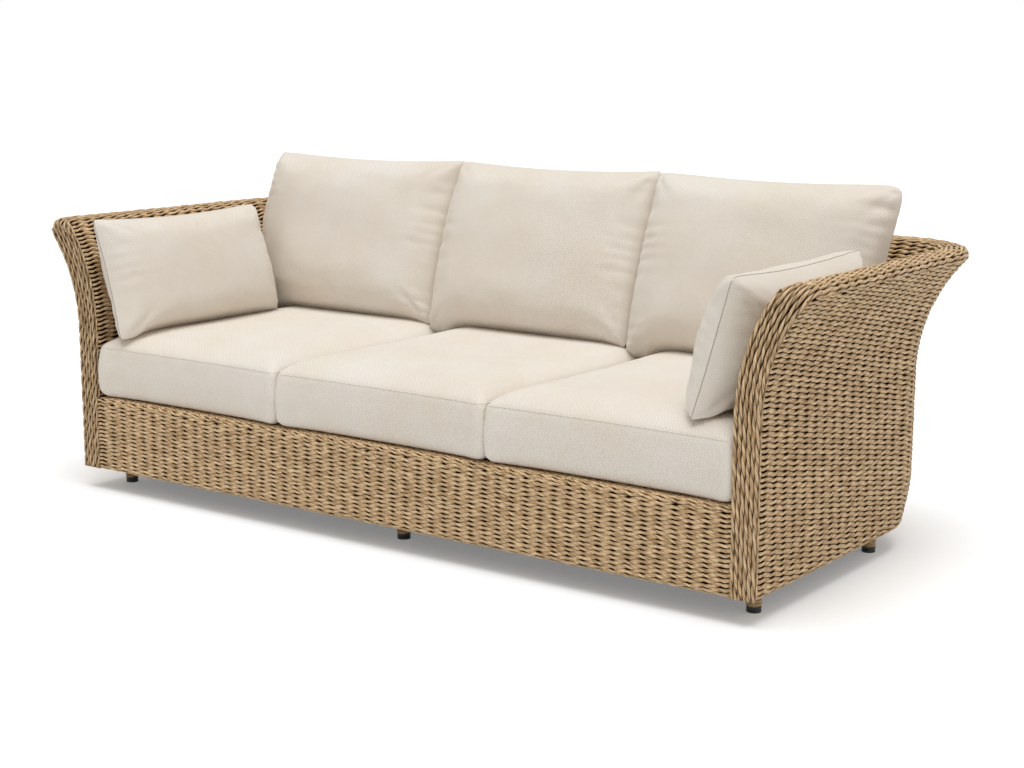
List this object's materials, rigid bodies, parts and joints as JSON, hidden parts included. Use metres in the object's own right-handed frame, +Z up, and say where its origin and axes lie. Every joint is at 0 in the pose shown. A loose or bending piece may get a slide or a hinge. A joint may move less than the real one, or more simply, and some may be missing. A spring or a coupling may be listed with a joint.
{
  "type": "rattan garden sofa",
  "caption": "Woven garden sofa with flared arms and back in one flowing shell, loose box seat cushions, leaning back cushions, lumbar pillows and levelling glides.",
  "frame": {"origin": "middle of the bounding box at floor level", "axes": "+X along the sofa to the right seen from the front, +Y to the back, +Z up"},
  "size_m": [2.318, 1.0308, 0.8867],
  "materials": {
    "woven_strand": "matt extruded wicker strand with a fibre grain, twisted in pairs",
    "frame_tube": "powder-coated aluminium tube, dark brown",
    "seat_webbing": "woven strap",
    "cushion_fabric": "cream outdoor fabric with a fine basket weave",
    "glide_plastic": "black, moulded",
    "stud_steel": "zinc-plated thread"
  },
  "bodies": {
    "frame": {"apron_weave": "woven_strand", "back_weave": "woven_strand", "arm_weave_left": "woven_strand", "arm_weave_right": "woven_strand", "corner_weave_left": "woven_strand", "corner_weave_right": "woven_strand", "post_band_left": "woven_strand", "post_band_right": "woven_strand", "leg_front_left": "woven_strand", "leg_front_middle": "woven_strand", "leg_front_right": "woven_strand", "leg_rear_left": "woven_strand", "leg_rear_middle": "woven_strand", "leg_rear_right": "woven_strand", "base_rail_front": "frame_tube", "base_rail_rear": "frame_tube", "base_rail_left": "frame_tube", "base_rail_right": "frame_tube", "base_crossbar_front": "frame_tube", "base_crossbar_rear": "frame_tube", "seat_strut_front": "frame_tube", "seat_strut_rear": "frame_tube", "seat_rail_front": "frame_tube", "seat_rail_rear": "frame_tube", "seat_rail_left": "frame_tube", "seat_rail_right": "frame_tube", "seat_bar_middle": "frame_tube", "front_post_left": "frame_tube", "front_post_right": "frame_tube", "rear_post_left": "frame_tube", "rear_post_right": "frame_tube", "back_post_left": "frame_tube", "back_post_right": "frame_tube", "top_rail_left": "frame_tube", "top_rail_right": "frame_tube", "top_rail_back": "frame_tube", "seat_deck_left": "seat_webbing", "seat_deck_right": "seat_webbing"},
    "seat_cushion_left": {"seat_cushion_left": "cushion_fabric"},
    "seat_cushion_middle": {"seat_cushion_middle": "cushion_fabric"},
    "seat_cushion_right": {"seat_cushion_right": "cushion_fabric"},
    "back_cushion_left": {"back_cushion_left": "cushion_fabric"},
    "back_cushion_middle": {"back_cushion_middle": "cushion_fabric"},
    "back_cushion_right": {"back_cushion_right": "cushion_fabric"},
    "pillow_left": {"pillow_left": "cushion_fabric"},
    "pillow_right": {"pillow_right": "cushion_fabric"},
    "glide_front_left": {"glide_pad_front_left": "glide_plastic", "glide_stud_front_left": "stud_steel"},
    "glide_front_middle": {"glide_pad_front_middle": "glide_plastic", "glide_stud_front_middle": "stud_steel"},
    "glide_front_right": {"glide_pad_front_right": "glide_plastic", "glide_stud_front_right": "stud_steel"},
    "glide_rear_left": {"glide_pad_rear_left": "glide_plastic", "glide_stud_rear_left": "stud_steel"},
    "glide_rear_middle": {"glide_pad_rear_middle": "glide_plastic", "glide_stud_rear_middle": "stud_steel"},
    "glide_rear_right": {"glide_pad_rear_right": "glide_plastic", "glide_stud_rear_right": "stud_steel"}
  },
  "joints": [
    {"name": "seat_cushion_left_slide", "type": "slide", "parent": "frame", "child": "seat_cushion_left", "axis": [0, -1, 0], "range_m": [0, 0.45]},
    {"name": "seat_cushion_middle_slide", "type": "slide", "parent": "frame", "child": "seat_cushion_middle", "axis": [0, -1, 0], "range_m": [0, 0.45]},
    {"name": "seat_cushion_right_slide", "type": "slide", "parent": "frame", "child": "seat_cushion_right", "axis": [0, -1, 0], "range_m": [0, 0.45]},
    {"name": "back_cushion_left_lift", "type": "slide", "parent": "frame", "child": "back_cushion_left", "axis": [0, 0, 1], "range_m": [0, 0.4]},
    {"name": "back_cushion_middle_lift", "type": "slide", "parent": "frame", "child": "back_cushion_middle", "axis": [0, 0, 1], "range_m": [0, 0.4]},
    {"name": "back_cushion_right_lift", "type": "slide", "parent": "frame", "child": "back_cushion_right", "axis": [0, 0, 1], "range_m": [0, 0.4]},
    {"name": "pillow_left_lift", "type": "slide", "parent": "frame", "child": "pillow_left", "axis": [0, 0, 1], "range_m": [0, 0.35]},
    {"name": "pillow_right_lift", "type": "slide", "parent": "frame", "child": "pillow_right", "axis": [0, 0, 1], "range_m": [0, 0.35]},
    {"name": "glide_front_left_slide", "type": "slide", "parent": "frame", "child": "glide_front_left", "axis": [0, 0, 1], "range_m": [-0.015, 0]},
    {"name": "glide_front_middle_slide", "type": "slide", "parent": "frame", "child": "glide_front_middle", "axis": [0, 0, 1], "range_m": [-0.015, 0]},
    {"name": "glide_front_right_slide", "type": "slide", "parent": "frame", "child": "glide_front_right", "axis": [0, 0, 1], "range_m": [-0.015, 0]},
    {"name": "glide_rear_left_slide", "type": "slide", "parent": "frame", "child": "glide_rear_left", "axis": [0, 0, 1], "range_m": [-0.015, 0]},
    {"name": "glide_rear_middle_slide", "type": "slide", "parent": "frame", "child": "glide_rear_middle", "axis": [0, 0, 1], "range_m": [-0.015, 0]},
    {"name": "glide_rear_right_slide", "type": "slide", "parent": "frame", "child": "glide_rear_right", "axis": [0, 0, 1], "range_m": [-0.015, 0]}
  ]
}
